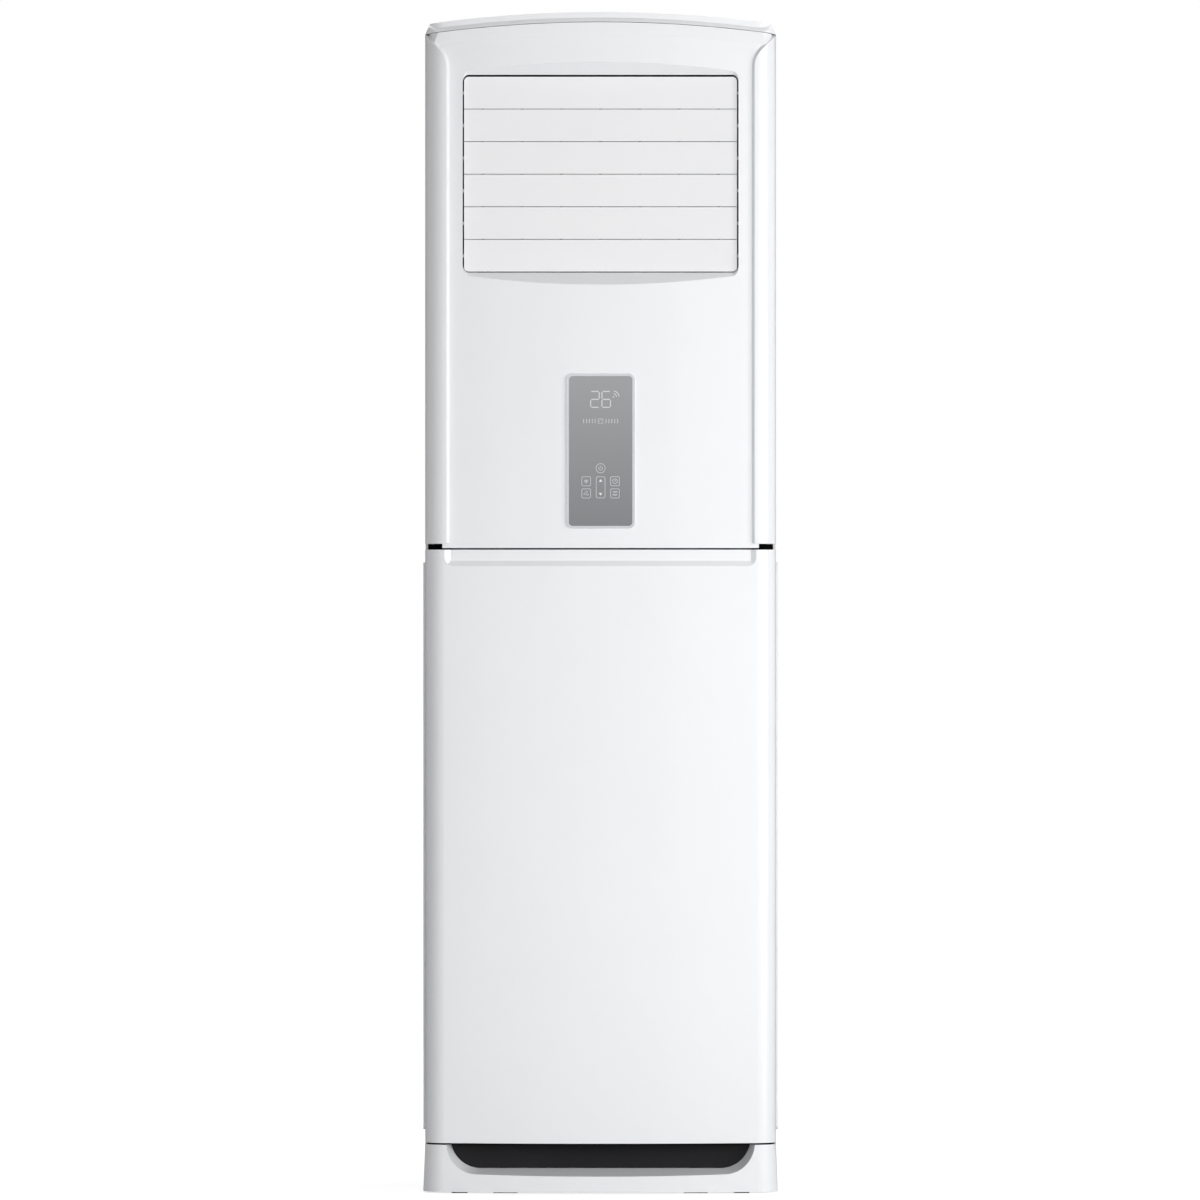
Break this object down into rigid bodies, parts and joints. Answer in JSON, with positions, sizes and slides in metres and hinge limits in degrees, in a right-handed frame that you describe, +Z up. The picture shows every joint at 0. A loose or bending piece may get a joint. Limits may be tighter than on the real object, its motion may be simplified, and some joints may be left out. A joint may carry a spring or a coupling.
{
  "type": "floor standing air conditioner",
  "caption": "Tall cabinet air conditioner with closing front louvres, a touch control window, side intake grilles and a centrifugal fan inside.",
  "frame": {"origin": "on the floor under the middle of the cabinet", "axes": "+Z up, front towards -Y, +X to the right seen from the front"},
  "size_m": [0.543, 0.39, 1.8006],
  "materials": {
    "front_abs": "glossy white moulding",
    "painted_steel": "white powder coat",
    "galvanised_steel": "spangled zinc",
    "black_steel": "black electrocoat",
    "grille_abs": "white moulding",
    "filter_net": "fine dark net",
    "dark_abs": "black moulding",
    "frame_abs": "dark moulding",
    "vane_abs": "dark moulding",
    "louvre_abs": "satin white moulding",
    "motor_steel": "plated can",
    "bezel_chrome": "plated rim",
    "smoked_glass": "grey printed window",
    "circuit_board": "green board",
    "rubber_black": "moulded rubber",
    "fan_plastic": "filled plastic",
    "aluminium_fins": "bare fins",
    "copper_tube": "drawn copper",
    "brass_union": "turned brass",
    "foam_pan": "moulded pan",
    "pvc_pipe": "grey-white pipe",
    "terminal_nylon": "black nylon",
    "capacitor_case": "pale case",
    "screw_steel": "zinc plated"
  },
  "bodies": {
    "cabinet": {"upper_front_panel": "front_abs", "top_cap": "front_abs", "plinth": "front_abs", "side_panel_right": "painted_steel", "side_panel_left": "painted_steel", "electrical_cover": "painted_steel", "corner_posts": "black_steel", "base_pan": "black_steel", "roof_plate": "galvanised_steel", "rear_panel": "galvanised_steel", "wall_bracket": "galvanised_steel", "scroll_housing": "galvanised_steel", "inlet_ring": "galvanised_steel", "motor_bracket": "galvanised_steel", "coil_end_plates": "galvanised_steel", "partition_plate": "galvanised_steel", "electrical_box": "galvanised_steel", "kick_recess": "dark_abs", "display_housing": "dark_abs", "outlet_frame": "frame_abs", "louvre_motor": "motor_steel", "vane_motor": "motor_steel", "fan_motor": "motor_steel", "control_bezel": "bezel_chrome", "control_glass": "smoked_glass", "display_board": "circuit_board", "main_board": "circuit_board", "feet": "rubber_black", "rear_grommets": "rubber_black", "evaporator_fins": "aluminium_fins", "return_bends": "copper_tube", "gas_pipe": "copper_tube", "liquid_pipe": "copper_tube", "flare_unions": "brass_union", "drain_pan": "foam_pan", "drain_pipe": "pvc_pipe", "terminal_block": "terminal_nylon", "motor_capacitor": "capacitor_case", "rear_screws": "screw_steel"},
    "fan": {"fan_wheel": "fan_plastic"},
    "louvre_link": {"louvre_link_bar": "vane_abs"},
    "vane_link": {"vane_link_bar": "vane_abs"},
    "lower_panel": {"lower_front_panel": "front_abs"},
    "intake_right": {"side_grille_right": "grille_abs", "filter_right": "filter_net"},
    "intake_left": {"side_grille_left": "grille_abs", "filter_left": "filter_net"},
    "louvre_1": {"louvre_blade_1": "louvre_abs"},
    "louvre_2": {"louvre_blade_2": "louvre_abs"},
    "louvre_3": {"louvre_blade_3": "louvre_abs"},
    "louvre_4": {"louvre_blade_4": "louvre_abs"},
    "louvre_5": {"louvre_blade_5": "louvre_abs"},
    "louvre_6": {"louvre_blade_6": "louvre_abs"},
    "upright_vane_1": {"vane_1": "vane_abs"},
    "upright_vane_2": {"vane_2": "vane_abs"},
    "upright_vane_3": {"vane_3": "vane_abs"},
    "upright_vane_4": {"vane_4": "vane_abs"},
    "upright_vane_5": {"vane_5": "vane_abs"},
    "upright_vane_6": {"vane_6": "vane_abs"},
    "upright_vane_7": {"vane_7": "vane_abs"}
  },
  "joints": [
    {"name": "louvre_1_tilt", "type": "hinge", "parent": "cabinet", "child": "louvre_1", "pos_m": [0, -0.163, 1.67817], "axis": [-1, 0, 0], "range_deg": [0, 90]},
    {"name": "louvre_2_tilt", "type": "hinge", "parent": "cabinet", "child": "louvre_2", "pos_m": [0, -0.163, 1.6285], "axis": [-1, 0, 0], "range_deg": [0, 90]},
    {"name": "louvre_3_tilt", "type": "hinge", "parent": "cabinet", "child": "louvre_3", "pos_m": [0, -0.163, 1.57883], "axis": [-1, 0, 0], "range_deg": [0, 90]},
    {"name": "louvre_4_tilt", "type": "hinge", "parent": "cabinet", "child": "louvre_4", "pos_m": [0, -0.163, 1.52917], "axis": [-1, 0, 0], "range_deg": [0, 90]},
    {"name": "louvre_5_tilt", "type": "hinge", "parent": "cabinet", "child": "louvre_5", "pos_m": [0, -0.163, 1.4795], "axis": [-1, 0, 0], "range_deg": [0, 90]},
    {"name": "louvre_6_tilt", "type": "hinge", "parent": "cabinet", "child": "louvre_6", "pos_m": [0, -0.163, 1.42983], "axis": [-1, 0, 0], "range_deg": [0, 90]},
    {"name": "louvre_link_pivot", "type": "hinge", "parent": "louvre_1", "child": "louvre_link", "pos_m": [-0.2213, -0.152, 1.67817], "axis": [-1, 0, 0], "range_deg": [-90, 0]},
    {"name": "vane_1_swing", "type": "hinge", "parent": "cabinet", "child": "upright_vane_1", "pos_m": [-0.18026, -0.108, 1.55475], "axis": [0, 0, 1], "range_deg": [-40, 40]},
    {"name": "vane_2_swing", "type": "hinge", "parent": "cabinet", "child": "upright_vane_2", "pos_m": [-0.12017, -0.108, 1.55475], "axis": [0, 0, 1], "range_deg": [-40, 40]},
    {"name": "vane_3_swing", "type": "hinge", "parent": "cabinet", "child": "upright_vane_3", "pos_m": [-0.06009, -0.108, 1.55475], "axis": [0, 0, 1], "range_deg": [-40, 40]},
    {"name": "vane_4_swing", "type": "hinge", "parent": "cabinet", "child": "upright_vane_4", "pos_m": [0, -0.108, 1.55475], "axis": [0, 0, 1], "range_deg": [-40, 40]},
    {"name": "vane_5_swing", "type": "hinge", "parent": "cabinet", "child": "upright_vane_5", "pos_m": [0.06009, -0.108, 1.55475], "axis": [0, 0, 1], "range_deg": [-40, 40]},
    {"name": "vane_6_swing", "type": "hinge", "parent": "cabinet", "child": "upright_vane_6", "pos_m": [0.12017, -0.108, 1.55475], "axis": [0, 0, 1], "range_deg": [-40, 40]},
    {"name": "vane_7_swing", "type": "hinge", "parent": "cabinet", "child": "upright_vane_7", "pos_m": [0.18026, -0.108, 1.55475], "axis": [0, 0, 1], "range_deg": [-40, 40]},
    {"name": "vane_link_pivot", "type": "hinge", "parent": "upright_vane_1", "child": "vane_link", "pos_m": [-0.18026, -0.093, 1.408], "axis": [0, 0, 1], "range_deg": [-40, 40]},
    {"name": "fan_spin", "type": "hinge", "parent": "cabinet", "child": "fan", "pos_m": [-0.02, 0.035, 0.4], "axis": [0, 1, 0], "continuous": true},
    {"name": "lower_panel_pull", "type": "slide", "parent": "cabinet", "child": "lower_panel", "axis": [0, -1, 0], "range_m": [0, 0.15]},
    {"name": "intake_right_pull", "type": "slide", "parent": "cabinet", "child": "intake_right", "axis": [1, 0, 0], "range_m": [0, 0.12]},
    {"name": "intake_left_pull", "type": "slide", "parent": "cabinet", "child": "intake_left", "axis": [-1, 0, 0], "range_m": [0, 0.12]}
  ],
  "couplings": [
    {"joint": "louvre_2_tilt", "follows": "louvre_1_tilt", "ratio": 1},
    {"joint": "louvre_3_tilt", "follows": "louvre_1_tilt", "ratio": 1},
    {"joint": "louvre_4_tilt", "follows": "louvre_1_tilt", "ratio": 1},
    {"joint": "louvre_5_tilt", "follows": "louvre_1_tilt", "ratio": 1},
    {"joint": "louvre_6_tilt", "follows": "louvre_1_tilt", "ratio": 1},
    {"joint": "louvre_link_pivot", "follows": "louvre_1_tilt", "ratio": -1},
    {"joint": "vane_2_swing", "follows": "vane_1_swing", "ratio": 1},
    {"joint": "vane_3_swing", "follows": "vane_1_swing", "ratio": 1},
    {"joint": "vane_4_swing", "follows": "vane_1_swing", "ratio": 1},
    {"joint": "vane_5_swing", "follows": "vane_1_swing", "ratio": 1},
    {"joint": "vane_6_swing", "follows": "vane_1_swing", "ratio": 1},
    {"joint": "vane_7_swing", "follows": "vane_1_swing", "ratio": 1},
    {"joint": "vane_link_pivot", "follows": "vane_1_swing", "ratio": -1}
  ]
}
